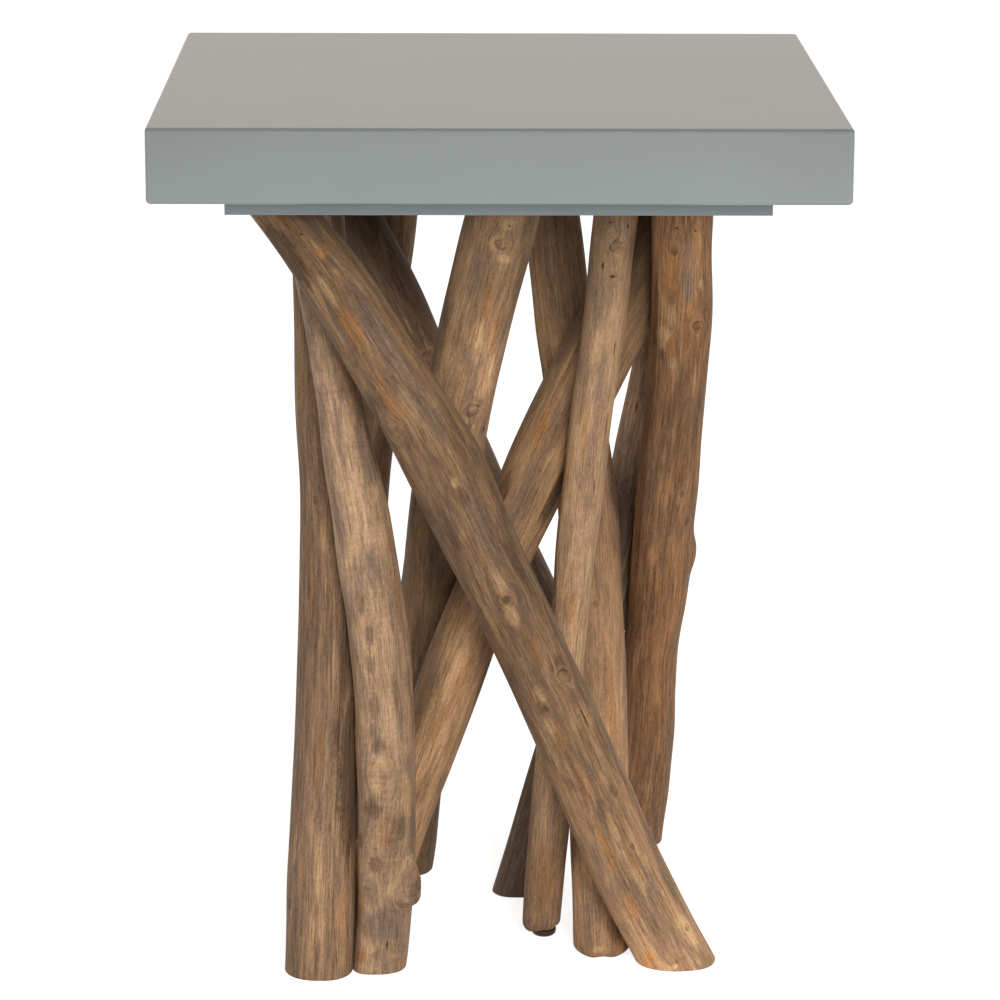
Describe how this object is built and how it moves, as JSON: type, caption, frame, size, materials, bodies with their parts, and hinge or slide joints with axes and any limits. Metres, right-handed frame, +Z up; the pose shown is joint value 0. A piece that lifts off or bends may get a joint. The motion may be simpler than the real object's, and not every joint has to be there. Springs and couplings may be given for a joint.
{
  "type": "branch side table",
  "caption": "Square side table with a thick grey lacquered top on a set-back plate, carried by crossed natural branches, one standing on a levelling glide.",
  "frame": {"origin": "on the floor under the middle of the top", "axes": "+Z up, front of the picture towards -Y, +X to the right of that front"},
  "size_m": [0.45, 0.45, 0.59],
  "materials": {
    "lacquer": "blue-grey lacquer on board, satin to gloss",
    "plate_paint": "blue-grey paint on board, satin",
    "core_wood": "bare softwood",
    "branch_wood": "peeled weathered branch, sanded, no shine",
    "plug_wood": "wood plug, sanded flush",
    "screw_steel": "zinc plated",
    "insert_brass": "turned",
    "glide_plastic": "dark brown moulded plastic"
  },
  "bodies": {
    "root": {"top_panel": "lacquer", "bottom_panel": "lacquer", "front_rail": "lacquer", "back_rail": "lacquer", "left_rail": "lacquer", "right_rail": "lacquer", "left_rib": "core_wood", "right_rib": "core_wood", "mounting_plate": "plate_paint", "branch_front_diagonal": "branch_wood", "branch_left_outer": "branch_wood", "branch_left_inner": "branch_wood", "branch_rear_diagonal": "branch_wood", "branch_rear_left": "branch_wood", "branch_middle_lean": "branch_wood", "branch_right_front": "branch_wood", "branch_thin_front": "branch_wood", "branch_rising_diagonal": "branch_wood", "branch_right_outer": "branch_wood", "branch_rear_slant": "branch_wood", "cross_plugs": "plug_wood", "branch_screws": "screw_steel", "plate_screws": "screw_steel", "cross_screws": "screw_steel", "glide_insert": "insert_brass"},
    "glide": {"glide": "glide_plastic", "glide_stud": "screw_steel"}
  },
  "joints": [
    {"name": "glide_screw", "type": "slide", "parent": "root", "child": "glide", "axis": [0, 0, 1], "range_m": [-0.01, 0]}
  ]
}
